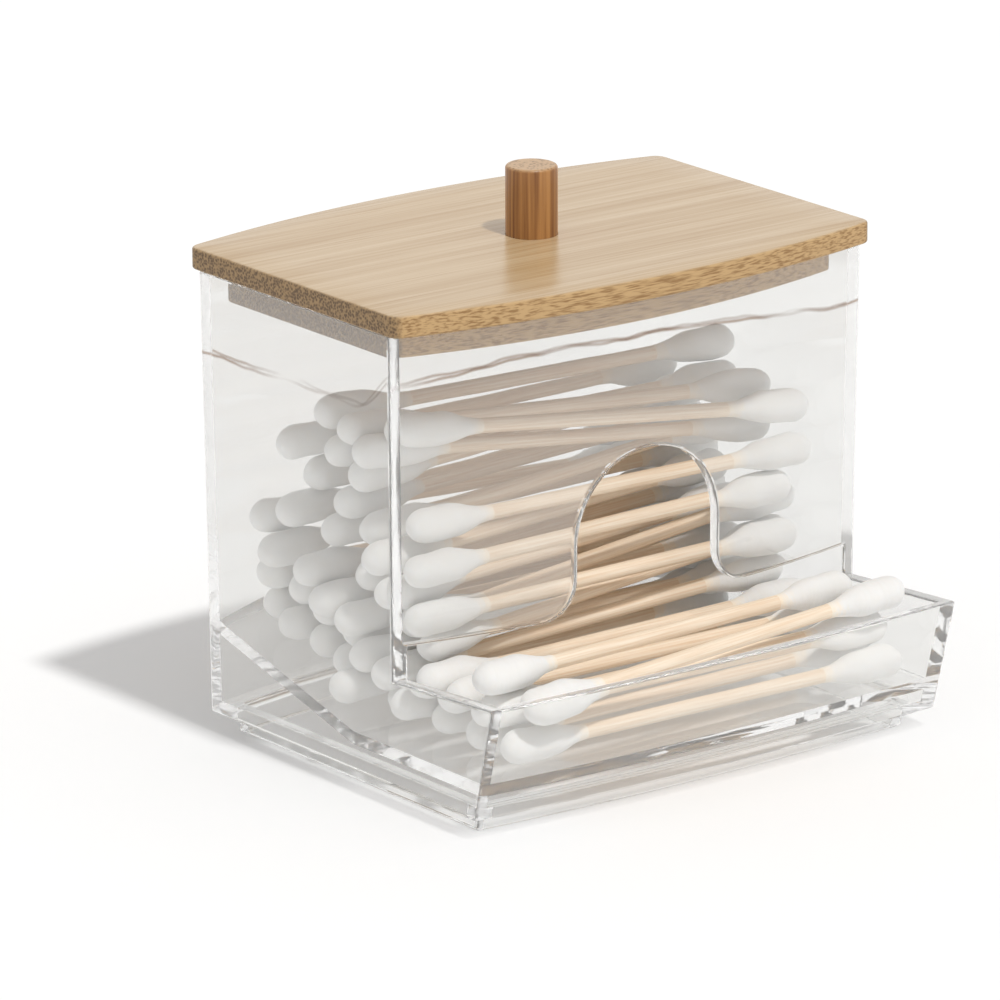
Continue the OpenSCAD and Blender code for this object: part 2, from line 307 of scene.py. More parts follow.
def chute_lines(b, depth):
    """Lines across the width, up the chute's slope and arc to the rear wall, at a depth below its surface.

    Where the arc ends depends on the rear wall's lean there, so a first height is bettered three times.
    """
    start = -b.chute_start + depth * math.tan(b.chute_angle / 2)
    low = b.floor_h - depth
    r = b.chute_r + depth
    meet = b.arc_y + r * math.sin(b.chute_angle)
    first_height = 20.0
    end = wall_line(b, first_height, "rear", b.side_wall, b.wall)
    for _ in range(3):
        end_z = b.arc_z - np.sqrt(r**2 - (end[:, 1] - b.arc_y) ** 2)
        end = wall_line(b, end_z, "rear", b.side_wall, b.wall)
    level = 0 * b.t
    lines = [(start + level, low + level), (meet + level, low + (meet - start) * b.slope + level)]
    for share in np.linspace(0, 1, CHUTE_LINES + 1)[1:]:
        y = meet + (end[:, 1] - meet) * share
        lines.append((y, b.arc_z - np.sqrt(r**2 - (y - b.arc_y) ** 2)))
    points = []
    for y, z in lines:
        x = b.t * (b.width / 2 - b.draft * (1 - z / b.rim) - b.side_wall)
        points.append(np.stack([x, y, z], axis=-1))
    return points


def box_outside(b):
    """Outer form: rear wall, rim, front wall, tray rim rising to the lip, and the leaning lip."""
    rise = b.lip_rise / b.tray_out
    front = wall_line(b, b.lip_h, "front")
    front = wall_line(b, b.lip_h - b.lip_rise - rise * (front[:, 1] + b.depth / 2), "front")
    lip = wall_line(b, b.lip_h, "lip")
    lip = wall_line(b, b.lip_h - b.lip_rise - rise * (lip[:, 1] + b.depth / 2), "lip")
    lines = [
        wall_line(b, b.foot_h, "rear"), wall_line(b, b.rim, "rear"), wall_line(b, b.rim, "front"),
        front, lip, wall_line(b, b.foot_h, "lip"),
    ]
    return np.stack(lines, axis=1)


def box_ring(b, inset, low, high):
    """A block under the whole plan, inset all round, between two heights."""
    corners = ((low, "rear"), (low, "lip"), (high, "lip"), (high, "rear"))
    return np.stack([wall_line(b, z, wall, inset, inset) for z, wall in corners], axis=1)


def box_swab_space(b):
    """Space for the swabs: floor, chute, rear wall, open top, front wall down to the slot, and the lip."""
    lines = [wall_line(b, b.floor_h, "lip", b.side_wall, b.wall)]
    lines += chute_lines(b, 0.0)
    lines.append(wall_line(b, b.rim + OVERCUT, "rear", b.side_wall, b.wall))
    lines.append(wall_line(b, b.rim + OVERCUT, "front", b.side_wall, b.wall))
    lines.append(wall_line(b, b.slot_h, "front", b.side_wall, b.wall))
    lines.append(wall_line(b, b.slot_h, "lip", b.side_wall, b.wall))
    return np.stack(lines, axis=1)


def box_underside(b):
    """Hollow under the floor and the chute, above the step of the foot ring."""
    step = b.foot_h + b.foot_wall
    lines = [wall_line(b, step, "lip", b.side_wall, b.wall)]
    lines.append(wall_line(b, b.floor_h - b.floor_t, "lip", b.side_wall, b.wall))
    lines += chute_lines(b, b.floor_t)
    lines.append(wall_line(b, step, "rear", b.side_wall, b.wall))
    return np.stack(lines, axis=1)


def box_notch(b):
    """Finger notch: an arch on two straight sides that flare out at the foot, cut through the front wall."""
    half = b.notch_w / 2
    foot = half + b.notch_flare
    turn = np.linspace(0, QUARTER, FLARE_POINTS)
    flare_x = b.notch_flare * np.sin(turn) - foot
    flare_z = b.slot_h + b.notch_flare * (1 - np.cos(turn))
    flare = np.stack([flare_x, flare_z], axis=-1)
    sweep = np.linspace(math.pi, 0, ARCH_POINTS)
    arch = np.stack([half * np.cos(sweep), b.notch_top - half + half * np.sin(sweep)], axis=-1)
    low = np.array([[foot, b.slot_h - OVERCUT], [-foot, b.slot_h - OVERCUT]])
    outline = np.concatenate([flare, arch, flare[::-1] * [-1, 1], low])
    before_wall, behind_wall = -b.depth / 2 - b.bow - 6 * OVERCUT, -b.depth / 4
    points = np.empty((2, len(outline), 3))
    points[:, :, 0] = outline[:, 0]
    points[:, :, 1] = [[before_wall], [behind_wall]]
    points[:, :, 2] = outline[:, 1]
    return points


def carved(base, cuts):
    """The base mesh after the given (operation, mesh) steps, worked exactly."""
    target = bpy.data.objects.new("carve_base", base)
    bpy.context.scene.collection.objects.link(target)
    tools = []
    for operation, mesh in cuts:
        tool = bpy.data.objects.new("carve_tool", mesh)
        bpy.context.scene.collection.objects.link(tool)
        tools.append(tool)
        step = target.modifiers.new("carve", "BOOLEAN")
        step.operation = operation
        step.solver = "EXACT"
        step.object = tool
    bpy.context.view_layer.update()
    result = bpy.data.meshes.new_from_object(target.evaluated_get(bpy.context.evaluated_depsgraph_get()))
    for done in [target] + tools:
        bpy.data.objects.remove(done)
    return result


def rounded(mesh, radius, least_angle):
    """The mesh with flat faces joined and a small radius on each outer edge that turns more than an angle."""
    merge = 1e-4
    flat = math.radians(0.02)
    work = bmesh.new()
    work.from_mesh(mesh)
    bmesh.ops.remove_doubles(work, verts=work.verts, dist=merge)
    bmesh.ops.dissolve_limit(work, angle_limit=flat, verts=work.verts, edges=work.edges)
    turning = [e for e in work.edges if e.is_manifold and e.calc_face_angle() > least_angle]
    sharp = [e for e in turning if e.is_convex]
    bmesh.ops.bevel(
        work, geom=sharp, offset=radius, offset_type="OFFSET", segments=3, profile=0.5, affect="EDGES",
        clamp_overlap=False,
    )
    work.to_mesh(mesh)
    work.free()
    return mesh


def lid_outline(width, depth, bow, radius, inset):
    """Closed outline with straight sides, bowed faces and round corners, moved in by an inset.

    Returns its points and how far each one faces the ends of the grain: 0 on the bowed faces, 1 on the sides.
    """
    edge_r = ((width / 2) ** 2 + bow**2) / (2 * bow)
    axis = edge_r - depth / 2 - bow
    corner_x = width / 2 - radius
    corner_y = math.sqrt((edge_r - radius) ** 2 - corner_x**2) - axis
    swing = math.asin(corner_x / (edge_r - radius))
    side = np.linspace(-corner_y, corner_y, SIDE_POINTS)[1:-1]
    turn = np.linspace(0, QUARTER - swing, CORNER_POINTS)
    along = np.linspace(swing, -swing, BOW_POINTS)[1:-1]
    round_r, face_r = radius - inset, edge_r - inset
    right = np.stack([side * 0 + width / 2 - inset, side], axis=-1)
    corner = np.stack([corner_x + round_r * np.cos(turn), corner_y + round_r * np.sin(turn)], axis=-1)
    rear = np.stack([face_r * np.sin(along), face_r * np.cos(along) - axis], axis=-1)
    half = np.concatenate([right, corner, rear, corner[::-1] * [-1, 1]])
    facing = np.concatenate([side * 0 + 1, np.cos(turn), np.abs(np.sin(along)), np.cos(turn[::-1])])
    return np.concatenate([half, -half]), np.concatenate([facing, facing])


def lid_sections(s, step, board, low, top):
    """Level sections of the lid from the underside of its step to its top, with quarter rounds at the edges.

    Each gives its width and depth, corner radius, inset, height and how far it looks like sawn edge.
    """
    under = top - s.board_t
    turn = np.linspace(0, QUARTER, ARRIS_POINTS)
    rise, reach = s.arris * (1 - np.cos(turn)), s.arris * (1 - np.sin(turn))
    sections = [(step, s.step_r, inset, low + up, 1.0) for inset, up in zip(reach, rise)]
    sections.append((step, s.step_r, 0.0, under, 1.0))
    for a, inset, up in zip(turn, reach, rise):
        sections.append((board, s.corner_r, inset, under + up, math.sin(a)))
    for a, inset, down in zip(turn, rise, reach):
        sections.append((board, s.corner_r, inset, top - down, 1 - math.sin(a) ** 3))
    return sections


def swab_profile(s):
    """Distances along a head from its tip, and the radius there: round tip, belly, taper, neck and stick."""
    round_tip = np.linspace(0, QUARTER, 10)[1:]
    belly_u = np.linspace(TIP_END, BELLY_END, 5)[1:]
    taper = np.linspace(0, 1, 13)[1:]
    neck_r = s.stick_d / 2 + s.wrap
    u = np.concatenate([
        TIP_END * (1 - np.cos(round_tip)), belly_u, BELLY_END + (TAPER_END - BELLY_END) * taper, [1.0],
    ])
    r = np.concatenate([
        np.sin(round_tip) * s.head_d / 2, belly_u * 0 + s.head_d / 2,
        neck_r + (s.head_d / 2 - neck_r) * (1 + np.cos(taper * math.pi)) / 2, [s.stick_d / 2],
    ])
    return u * s.head_len, r


def swab_place(node):
    """Middle of a swab's node in millimetres, and its long axis, its side and its upward direction."""
    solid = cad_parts[node].data
    points = np.empty(len(solid.vertices) * 3, np.float32)
    solid.vertices.foreach_get("co", points)
    points = points.reshape(-1, 3).astype(float) / MM
    middle = (points.max(axis=0) + points.min(axis=0)) / 2
    axis = np.linalg.svd(points - middle, full_matrices=False)[2][0]
    axis = axis if axis[0] > 0 else -axis
    side = np.cross(axis, [0, 0, 1])
    side = side / np.linalg.norm(side)
    return middle, axis, side, np.cross(side, axis)


def swab_uv(s, run, seed):
    """Millimetres along and round a swab for each corner of its faces, the caps at zero."""
    step = np.arange(SWAB_SIDES)
    pitch = math.pi * s.stick_d / SWAB_SIDES
    along = np.stack([run[:-1], run[:-1], run[1:], run[1:]], axis=-1)[:, None, :]
    around = np.stack([step, step + 1, step + 1, step], axis=-1)[None] * pitch
    along, around = np.broadcast_arrays(along + GRAIN_SHIFT * seed, around)
    uv = np.stack([along, around], axis=-1).reshape(-1, 2)
    return np.concatenate([uv, np.zeros((2 * SWAB_SIDES, 2))])


def swab_mesh(name, s, node, seed):
    """A swab turned about its node's own long axis, its cotton a little uneven and wound at a slant."""
    middle, axis, side, up = swab_place(node)
    chance = np.random.default_rng(seed)
    far, radius = swab_profile(s)
    stick = np.linspace(-0.25, 0.25, STICK_RINGS) * s.length
    run = np.concatenate([far - s.length / 2, stick, s.length / 2 - far[::-1]])
    radius = np.concatenate([radius, np.full(STICK_RINGS, s.stick_d / 2), radius[::-1]])
    cotton = np.zeros(len(run), bool)
    cotton[: len(far) - 1] = True
    cotton[1 - len(far) :] = True
    turn = np.linspace(0, 2 * math.pi, SWAB_SIDES, endpoint=False)
    phase = chance.uniform(0, 2 * math.pi, len(WINDING))
    uneven = sum(
        share * np.sin(waves * turn + start + slant * run[:, None])
        for (share, waves, slant), start in zip(WINDING, phase)
    )
    wound = cotton & (radius > s.stick_d * 0.6)
    spread = radius[:, None] * (1 + uneven * wound[:, None])
    across = np.cos(turn)[None, :, None] * side + np.sin(turn)[None, :, None] * up
    mesh = rings_mesh(name, (middle + run[:, None, None] * axis + spread[:, :, None] * across) * MM)
    bare = np.repeat(~(cotton[:-1] | cotton[1:]), SWAB_SIDES)
    mesh.polygons.foreach_set("material_index", np.concatenate([bare, [0, 0]]).astype(np.int32))
    layer = mesh.uv_layers.new(name="along_around")
    layer.data.foreach_set("uv", swab_uv(s, run, seed).astype(np.float32).ravel())
    cover = np.clip((1 - far / s.head_len) / THIN_SHARE, 0, 1)
    cover = np.concatenate([cover, np.zeros(STICK_RINGS), cover[::-1]])
    point_attribute(mesh, "cotton_cover", cover[:, None] + np.zeros(SWAB_SIDES))
    smooth_by_angle(mesh, degrees=60)
    return mesh


def add(tree, kind, inputs=None, **settings):
    """Adds a node with its settings, and sets or links its inputs."""
    made = tree.nodes.new(kind)
    for name, value in settings.items():
        setattr(made, name, value)
    for key, value in (inputs or {}).items():
        if isinstance(value, bpy.types.NodeSocket):
            tree.links.new(value, made.inputs[key])
        else:
            made.inputs[key].default_value = value
    return made


def new_material(name):
    """An empty node material and its output."""
    material = bpy.data.materials.new(name)
    material.use_nodes = True
    material.node_tree.nodes.clear()
    return material, add(material.node_tree, "ShaderNodeOutputMaterial")


def rgba(group_colour):
    """A property colour as a socket value."""
    return (*group_colour, 1.0)


def painted_lid_reflection(tree, place_at, under_lid):
    """Painted reflection of the wooden lid on the outside of the front and left walls: a thin wandering
    stroke, 0 to 1.

    It hangs below the lid by a dip that grows along each wall, and is drawn where the height is near to that.
    """
    geometry = add(tree, "ShaderNodeNewGeometry")
    spot = add(tree, "ShaderNodeSeparateXYZ", {0: place_at})
    faces = add(tree, "ShaderNodeSeparateXYZ", {0: geometry.outputs["Normal"]})
    plan = add(tree, "ShaderNodeVectorMath", {0: place_at, 1: (1.0, 1.0, 0.0)}, operation="MULTIPLY")
    outward = add(tree, "ShaderNodeVectorMath", {
        0: plan.outputs[0], 1: geometry.outputs["Normal"],
    }, operation="DOT_PRODUCT")
    outside = add(tree, "ShaderNodeMath", {0: outward.outputs["Value"], 1: 0.0}, operation="GREATER_THAN")
    toward = add(tree, "ShaderNodeMath", {0: faces.outputs["X"], 1: faces.outputs["Y"]}, operation="ADD")
    shown = add(tree, "ShaderNodeMath", {0: toward.outputs[0], 1: -0.5}, operation="LESS_THAN")
    on_side = add(tree, "ShaderNodeMath", {0: faces.outputs["X"], 1: -0.6}, operation="LESS_THAN")
    shift = add(tree, "ShaderNodeMath", {0: spot.outputs["X"], 1: 8 * MM}, operation="ADD")
    aside = add(tree, "ShaderNodeMath", {0: shift.outputs[0]}, operation="ABSOLUTE")
    front_dip = add(tree, "ShaderNodeMapRange", {
        "Value": aside.outputs[0], "From Min": 10 * MM, "From Max": 50 * MM,
        "To Min": 1.2 * MM, "To Max": 4.6 * MM,
    }, interpolation_type="SMOOTHSTEP")
    side_dip = add(tree, "ShaderNodeMapRange", {
        "Value": spot.outputs["Y"], "From Min": -17 * MM, "From Max": -6 * MM,
        "To Min": 1 * MM, "To Max": 7.8 * MM,
    }, interpolation_type="SMOOTHSTEP")
    dip = add(tree, "ShaderNodeMix", {
        "Factor": on_side.outputs[0], VALUE_A: front_dip.outputs[0], VALUE_B: side_dip.outputs[0],
    })
    wander = add(tree, "ShaderNodeTexNoise", {
        "Vector": plan.outputs[0], "Scale": 1 / (12 * MM), "Detail": 2.0,
    })
    drift = add(tree, "ShaderNodeMapRange", {
        "Value": wander.outputs["Fac"], "To Min": under_lid - 1.2 * MM, "To Max": under_lid + 1.2 * MM,
    })
    level = add(tree, "ShaderNodeMath", {0: drift.outputs[0], 1: dip.outputs[0]}, operation="SUBTRACT")
    off = add(tree, "ShaderNodeMath", {0: spot.outputs["Z"], 1: level.outputs[0]}, operation="SUBTRACT")
    away = add(tree, "ShaderNodeMath", {0: off.outputs[0]}, operation="ABSOLUTE")
    stroke = add(tree, "ShaderNodeMapRange", {
        "Value": away.outputs[0], "From Min": 0.1 * MM, "From Max": 0.38 * MM, "To Min": 1.0, "To Max": 0.0,
    })
    weight = add(tree, "ShaderNodeTexNoise", {"Vector": place_at, "Scale": 1 / (18 * MM), "Detail": 1.0})
    strong = add(tree, "ShaderNodeMapRange", {
        "Value": weight.outputs["Fac"], "From Min": 0.3, "From Max": 0.55,
    })
    for factor in (strong, outside, shown):
        stroke = add(tree, "ShaderNodeMath", {
            0: stroke.outputs[0], 1: factor.outputs[0],
        }, operation="MULTIPLY")
    return stroke.outputs[0]


def clear_polystyrene(under_lid):
    """Crystal polystyrene, moulded in a polished tool: colourless, smooth, faintly rippled and hazed, with a
    brown stroke painted on as a reflection of the wooden lid.

    Light that is reflected along inside a wall meets less haze, so the corners shine. Lamps pass straight
    through, less so where they graze a wall or run along inside one, so they light what the box holds and
    it still casts a pale shadow, with a darker line under its side walls.
    """
    material, out = new_material("clear_polystyrene")
    tree = material.node_tree
    place_at = add(tree, "ShaderNodeTexCoord").outputs["Object"]
    ripple = add(tree, "ShaderNodeTexNoise", {"Vector": place_at, "Scale": 1 / (14 * MM), "Detail": 1.0})
    bump = add(tree, "ShaderNodeBump", {
        "Height": ripple.outputs["Fac"], "Strength": 0.06, "Distance": 1 * MM,
    })
    # The brown stroke mixed into the base colour is a painted reflection of the wooden lid in the walls.
    body = add(tree, "ShaderNodeMix", {
        "Factor": painted_lid_reflection(tree, place_at, under_lid),
        COLOUR_A: linear("#F9F9F8"), COLOUR_B: linear("#8F7563"),
    }, data_type="RGBA")
    hazed, guiding = [
        add(tree, "ShaderNodeBsdfPrincipled", {
            "Base Color": body.outputs[COLOUR_OUT], "Roughness": 0.0, "IOR": 1.56,
            "Transmission Weight": clearness, "Normal": bump.outputs["Normal"],
        })
        for clearness in (0.93, 0.98)
    ]
    graze = add(tree, "ShaderNodeLayerWeight", {"Blend": 0.2})
    tint = add(tree, "ShaderNodeMix", {
        "Factor": graze.outputs["Facing"], COLOUR_A: linear("#FFFFFF"), COLOUR_B: linear("#E0E1E2"),
    }, data_type="RGBA")
    passing = add(tree, "ShaderNodeBsdfTransparent", {"Color": tint.outputs[COLOUR_OUT]})
    path = add(tree, "ShaderNodeLightPath")
    bent = add(tree, "ShaderNodeMixShader", {
        0: path.outputs["Is Reflection Ray"], 1: hazed.outputs[0], 2: guiding.outputs[0],
    })
    soft = add(tree, "ShaderNodeMixShader", {
        0: path.outputs["Is Diffuse Ray"], 1: bent.outputs[0], 2: passing.outputs[0],
    })
    mixed = add(tree, "ShaderNodeMixShader", {
        0: path.outputs["Is Shadow Ray"], 1: soft.outputs[0], 2: passing.outputs[0],
    })
    tree.links.new(mixed.outputs[0], out.inputs["Surface"])
    loss = add(tree, "ShaderNodeVolumeAbsorption", {"Color": linear("#000000"), "Density": 0.028 / MM})
    inside = add(tree, "ShaderNodeMixShader", {0: path.outputs["Is Shadow Ray"], 2: loss.outputs[0]})
    tree.links.new(inside.outputs[0], out.inputs["Volume"])
    return material


def bamboo_board(c):
    """Bamboo board, sanded and lacquered: fine streaks on top, dashes on sawn sides, dots on the ends."""
    material, out = new_material("lacquered_bamboo_board")
    tree = material.node_tree
    place_at = add(tree, "ShaderNodeTexCoord").outputs["Object"]
    # Each Mapping's scale is one over the length, depth and height of a mark in millimetres
    fine_at = add(tree, "ShaderNodeMapping", {"Vector": place_at, "Scale": (1 / 60, 1 / 0.7, 1 / 0.7)})
    fine = add(tree, "ShaderNodeTexNoise", {"Vector": fine_at.outputs[0], "Scale": 1 / MM, "Detail": 3.0})
    broad_at = add(tree, "ShaderNodeMapping", {"Vector": place_at, "Scale": (1 / 160, 1 / 4.0, 1 / 4.0)})
    broad = add(tree, "ShaderNodeTexNoise", {"Vector": broad_at.outputs[0], "Scale": 1 / MM, "Detail": 2.0})
    both = add(tree, "ShaderNodeMix", {
        "Factor": 0.45, VALUE_A: fine.outputs["Fac"], VALUE_B: broad.outputs["Fac"],
    })
    streak = add(tree, "ShaderNodeMapRange", {"Value": both.outputs[0], "From Min": 0.36, "From Max": 0.66})
    ground = add(tree, "ShaderNodeMix", {
        "Factor": streak.outputs[0], COLOUR_A: rgba(c.bamboo_pale), COLOUR_B: rgba(c.bamboo_deep),
    }, data_type="RGBA")
    fibre_at = add(tree, "ShaderNodeMapping", {"Vector": place_at, "Scale": (1 / 16, 1 / 0.3, 1 / 0.3)})
    fibre = add(tree, "ShaderNodeTexNoise", {"Vector": fibre_at.outputs[0], "Scale": 1 / MM, "Detail": 1.0})
    fibre_dark = add(tree, "ShaderNodeMapRange", {
        "Value": fibre.outputs["Fac"], "From Min": 0.56, "From Max": 0.76, "To Max": 0.55,
    })
    face = add(tree, "ShaderNodeMix", {
        "Factor": fibre_dark.outputs[0], COLOUR_A: ground.outputs[COLOUR_OUT], COLOUR_B: linear("#A98452"),
    }, data_type="RGBA")
    dash_at = add(tree, "ShaderNodeMapping", {
        "Vector": place_at, "Scale": (1 / 3.6, 1 / 0.26, 1 / 0.26), "Rotation": (0, 0.16, 0),
    })
    dash = add(tree, "ShaderNodeTexNoise", {"Vector": dash_at.outputs[0], "Scale": 1 / MM, "Detail": 2.0})
    dash_dark = add(tree, "ShaderNodeMapRange", {
        "Value": dash.outputs["Fac"], "From Min": 0.45, "From Max": 0.64, "To Max": 0.85,
    })
    sawn = add(tree, "ShaderNodeMix", {
        "Factor": dash_dark.outputs[0], COLOUR_A: rgba(c.bamboo_edge), COLOUR_B: linear("#8A6538"),
    }, data_type="RGBA")
    dots = add(tree, "ShaderNodeTexVoronoi", {
        "Vector": place_at, "Scale": 1 / (0.42 * MM), "Randomness": 1.0,
    })
    dot_dark = add(tree, "ShaderNodeMapRange", {
        "Value": dots.outputs["Distance"], "From Min": 0.25, "From Max": 0.75,
    })
    ends = add(tree, "ShaderNodeMix", {
        "Factor": dot_dark.outputs[0], COLOUR_A: linear("#5E4832"), COLOUR_B: rgba(c.bamboo_end),
    }, data_type="RGBA")
    to_end = add(tree, "ShaderNodeAttribute", attribute_name="end_share").outputs["Fac"]
    to_edge = add(tree, "ShaderNodeAttribute", attribute_name="edge_share").outputs["Fac"]
    edge = add(tree, "ShaderNodeMix", {
        "Factor": to_end, COLOUR_A: sawn.outputs[COLOUR_OUT], COLOUR_B: ends.outputs[COLOUR_OUT],
    }, data_type="RGBA")
    skin = add(tree, "ShaderNodeMix", {
        "Factor": to_edge, COLOUR_A: face.outputs[COLOUR_OUT], COLOUR_B: edge.outputs[COLOUR_OUT],
    }, data_type="RGBA")
    rough = add(tree, "ShaderNodeMapRange", {"Value": to_edge, "To Min": 0.26, "To Max": 0.6})
    relief = add(tree, "ShaderNodeBump", {
        "Height": both.outputs[0], "Strength": 0.12, "Distance": 0.1 * MM,
    })
    wood = add(tree, "ShaderNodeBsdfPrincipled", {
        "Base Color": skin.outputs[COLOUR_OUT], "Roughness": rough.outputs[0], "IOR": 1.5,
        "Normal": relief.outputs["Normal"],
    })
    tree.links.new(wood.outputs[0], out.inputs["Surface"])
    return material


def bamboo_dowel(c):
    """Bamboo dowel, turned and lacquered: upright fibre stripes round its side, dotted end grain on top."""
    material, out = new_material("lacquered_bamboo_dowel")
    tree = material.node_tree
    place_at = add(tree, "ShaderNodeTexCoord").outputs["Object"]
    stripe_at = add(tree, "ShaderNodeMapping", {"Vector": place_at, "Scale": (1 / 0.8, 1 / 0.8, 1 / 40)})
    stripe = add(tree, "ShaderNodeTexNoise", {
        "Vector": stripe_at.outputs[0], "Scale": 1 / MM, "Detail": 3.0,
    })
    ramp = add(tree, "ShaderNodeMapRange", {
        "Value": stripe.outputs["Fac"], "From Min": 0.38, "From Max": 0.64,
    })
    side = add(tree, "ShaderNodeMix", {
        "Factor": ramp.outputs[0], COLOUR_A: rgba(c.dowel), COLOUR_B: linear("#7C4D22"),
    }, data_type="RGBA")
    dots = add(tree, "ShaderNodeTexVoronoi", {"Vector": place_at, "Scale": 1 / (0.55 * MM)})
    dot_dark = add(tree, "ShaderNodeMapRange", {
        "Value": dots.outputs["Distance"], "From Min": 0.2, "From Max": 0.5,
    })
    top = add(tree, "ShaderNodeMix", {
        "Factor": dot_dark.outputs[0], COLOUR_A: linear("#8E6E4C"), COLOUR_B: linear("#C4A179"),
    }, data_type="RGBA")
    to_end = add(tree, "ShaderNodeAttribute", attribute_name="end_share").outputs["Fac"]
    skin = add(tree, "ShaderNodeMix", {
        "Factor": to_end, COLOUR_A: side.outputs[COLOUR_OUT], COLOUR_B: top.outputs[COLOUR_OUT],
    }, data_type="RGBA")
    relief = add(tree, "ShaderNodeBump", {
        "Height": stripe.outputs["Fac"], "Strength": 0.2, "Distance": 0.1 * MM,
    })
    wood = add(tree, "ShaderNodeBsdfPrincipled", {
        "Base Color": skin.outputs[COLOUR_OUT], "Roughness": 0.38, "IOR": 1.5,
        "Normal": relief.outputs["Normal"],
    })
    tree.links.new(wood.outputs[0], out.inputs["Surface"])
    return material


def birch_stick(c):
    """Birch, cut to a round stick and left bare: pale, matt, with fine streaks along it."""
    material, out = new_material("bare_birch_stick")
    tree = material.node_tree
    run = add(tree, "ShaderNodeUVMap", uv_map="along_around").outputs[0]
    streak_at = add(tree, "ShaderNodeMapping", {"Vector": run, "Scale": (1 / 14, 1 / 0.35, 1)})
    streak = add(tree, "ShaderNodeTexNoise", {"Vector": streak_at.outputs[0], "Scale": 1.0, "Detail": 3.0})
    ramp = add(tree, "ShaderNodeMapRange", {
        "Value": streak.outputs["Fac"], "From Min": 0.35, "From Max": 0.7,
    })
    skin = add(tree, "ShaderNodeMix", {
        "Factor": ramp.outputs[0], COLOUR_A: rgba(c.birch), COLOUR_B: linear("#E9CEB0"),
    }, data_type="RGBA")
    relief = add(tree, "ShaderNodeBump", {
        "Height": streak.outputs["Fac"], "Strength": 0.3, "Distance": 0.05 * MM,
    })
    wood = add(tree, "ShaderNodeBsdfPrincipled", {
        "Base Color": skin.outputs[COLOUR_OUT], "Roughness": 0.62, "IOR": 1.5,
        "Normal": relief.outputs["Normal"],
    })
    tree.links.new(wood.outputs[0], out.inputs["Surface"])
    return material


def wound_cotton(c):
    """Cotton wound on the stick and pressed: white, matt and soft, with faint fibres.

    Light passes a little way in. Towards the bare stick the cotton thins out raggedly and the birch shows.
    """
    material, out = new_material("wound_cotton")
    tree = material.node_tree
    run = add(tree, "ShaderNodeUVMap", uv_map="along_around").outputs[0]
    wind_at = add(tree, "ShaderNodeMapping", {
        "Vector": run, "Scale": (1 / 0.9, 1 / 2.4, 1), "Rotation": (0, 0, 0.5),
    })
    fibre = add(tree, "ShaderNodeTexNoise", {
        "Vector": wind_at.outputs[0], "Scale": 1.0, "Detail": 5.0, "Roughness": 0.65,
    })
    relief = add(tree, "ShaderNodeBump", {
        "Height": fibre.outputs["Fac"], "Strength": 0.35, "Distance": 0.25 * MM,
    })
    shade = add(tree, "ShaderNodeMix", {
        "Factor": fibre.outputs["Fac"], COLOUR_A: linear("#EAE8E3"), COLOUR_B: rgba(c.cotton),
    }, data_type="RGBA")
    cover = add(tree, "ShaderNodeAttribute", attribute_name="cotton_cover").outputs["Fac"]
    ragged = add(tree, "ShaderNodeMath", {0: fibre.outputs["Fac"], 1: cover}, operation="ADD")
    veil = add(tree, "ShaderNodeMapRange", {"Value": ragged.outputs[0], "From Min": 0.4, "From Max": 1.0})
    skin = add(tree, "ShaderNodeMix", {
        "Factor": veil.outputs[0], COLOUR_A: rgba(c.birch), COLOUR_B: shade.outputs[COLOUR_OUT],
    }, data_type="RGBA")
    wool = add(tree, "ShaderNodeBsdfPrincipled", {
        "Base Color": skin.outputs[COLOUR_OUT], "Roughness": 0.95, "IOR": 1.4, "Specular IOR Level": 0.2,
        "Subsurface Weight": 0.35, "Subsurface Radius": (1.0, 0.9, 0.8), "Subsurface Scale": 1 * MM,
        "Sheen Weight": 0.25, "Sheen Roughness": 0.5, "Normal": relief.outputs["Normal"],
    })
    tree.links.new(wool.outputs[0], out.inputs["Surface"])
    return material


def white_floor():
    """White seamless paper: matt, and plain white where nothing shades it."""
    material, out = new_material("white_paper_floor")
    tree = material.node_tree
    paper = add(tree, "ShaderNodeBsdfDiffuse", {"Color": linear("#FFFFFF")})
    tree.links.new(paper.outputs[0], out.inputs["Surface"])
    return material


def lay_floor(scene, stage):
    """A square white floor at table height."""
    half = stage.floor_size / 2
    corners = np.array([[-half, -half, 0], [half, -half, 0], [half, half, 0], [-half, half, 0]])
    mesh = bpy.data.meshes.new("floor")
    mesh.from_pydata(corners, [], [(0, 1, 2, 3)])
    mesh.materials.append(white_floor())
    floor = bpy.data.objects.new("floor", mesh)
    scene.collection.objects.link(floor)


def hang_key_light(scene, stage):
    """A sun over the front."""
    lamp = bpy.data.lights.new("key_light", "SUN")
    lamp.energy = stage.sun
    lamp.angle = stage.sun_width
    lamp.color = KEY_COLOUR
    key = bpy.data.objects.new("key_light", lamp)
    key.rotation_euler = (QUARTER - stage.sun_height, 0, 0)
    scene.collection.objects.link(key)


def light_softly(scene, stage):
    """An even white sky, plain white to the camera and in mirrors and clear walls."""
    world = bpy.data.worlds.new("soft_light")
    world.use_nodes = True
    tree = world.node_tree
    tree.nodes.clear()
    path = add(tree, "ShaderNodeLightPath")
    seen = add(tree, "ShaderNodeMath", {
        0: path.outputs["Is Glossy Ray"], 1: path.outputs["Is Transmission Ray"],
    }, operation="MAXIMUM")
    shown = add(tree, "ShaderNodeMath", {
        0: seen.outputs[0], 1: path.outputs["Is Camera Ray"],
    }, operation="MAXIMUM")
    dim = add(tree, "ShaderNodeBackground", {"Color": linear("#FFFFFF"), "Strength": stage.sky})
    white = add(tree, "ShaderNodeBackground", {"Color": linear("#FFFFFF"), "Strength": 1.0})
    mixed = add(tree, "ShaderNodeMixShader", {0: shown.outputs[0], 1: dim.outputs[0], 2: white.outputs[0]})
    end = add(tree, "ShaderNodeOutputWorld")
    tree.links.new(mixed.outputs[0], end.inputs["Surface"])
    scene.world = world


